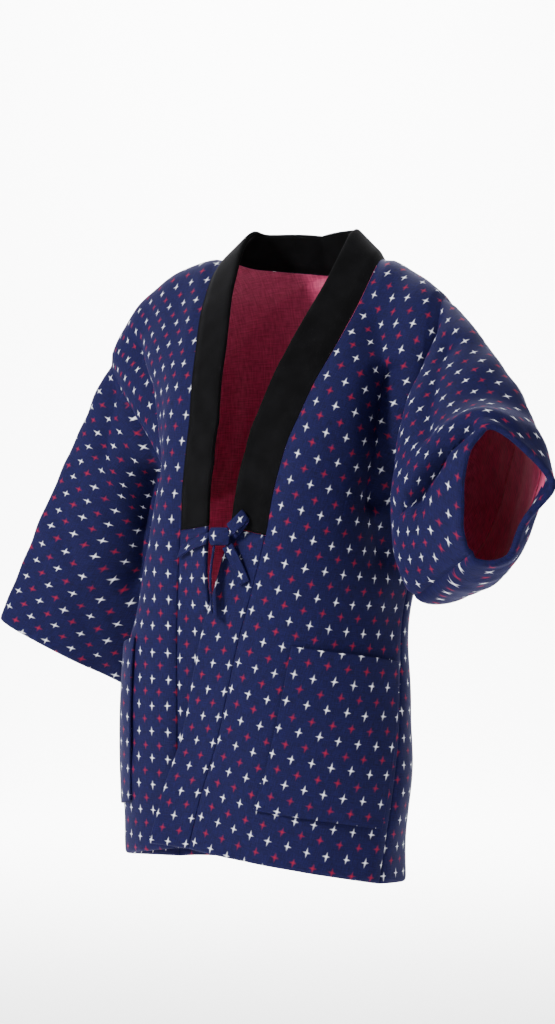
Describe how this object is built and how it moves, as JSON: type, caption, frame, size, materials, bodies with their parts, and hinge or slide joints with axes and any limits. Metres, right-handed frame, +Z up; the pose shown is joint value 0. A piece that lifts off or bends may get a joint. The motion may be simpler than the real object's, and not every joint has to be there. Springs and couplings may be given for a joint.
{
  "type": "padded short coat",
  "caption": "Hollow worn form of a padded cotton short coat with wide sleeves, velvet collar, patch pockets and a tie, left forearm raised, front lapped left over right.",
  "frame": {"origin": "middle of the wearer's neck at shoulder level, where the coat hangs on the shoulders", "axes": "+Z up, +X towards the wearer's left, -Y the front"},
  "size_m": [0.8657, 0.3384, 0.8303],
  "materials": {
    "cotton": "navy cotton woven with white and red crosses, wadded",
    "velvet": "black velvet collar cover",
    "lining": "crimson plain lining"
  },
  "bodies": {
    "root": {"body_left": "cotton", "body_right": "cotton", "sleeve_left": "cotton", "sleeve_right": "cotton", "cuff_lining_left": "lining", "band_left": "cotton", "band_right": "cotton", "collar": "velvet", "pocket_left": "cotton", "pocket_right": "cotton", "tie_knot": "cotton", "tie_loop": "cotton", "tie_tail_left": "cotton", "tie_tail_right": "cotton", "tie_tail_down": "cotton"}
  },
  "joints": []
}
